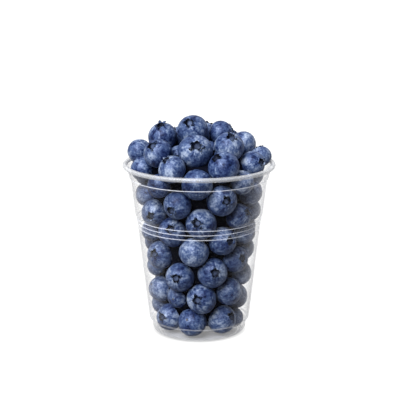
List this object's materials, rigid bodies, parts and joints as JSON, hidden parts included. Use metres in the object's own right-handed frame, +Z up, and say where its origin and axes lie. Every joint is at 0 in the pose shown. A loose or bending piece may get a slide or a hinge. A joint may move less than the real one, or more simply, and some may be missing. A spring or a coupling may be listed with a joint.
{
  "type": "cup of blueberries",
  "caption": "Clear thin plastic cup with a rolled rim, grooves round its middle and a narrow foot, filled and heaped over the rim with fresh blueberries.",
  "frame": {"origin": "middle of the ring the cup stands on", "axes": "+Z up the cup's axis, -Y towards the front"},
  "size_m": [0.08, 0.08, 0.1161],
  "materials": {
    "clear_plastic": "clear, smooth",
    "berry_skin": "dark blue skin under a pale waxy bloom"
  },
  "bodies": {
    "root": {"cup": "clear_plastic", "berries": "berry_skin"}
  },
  "joints": []
}
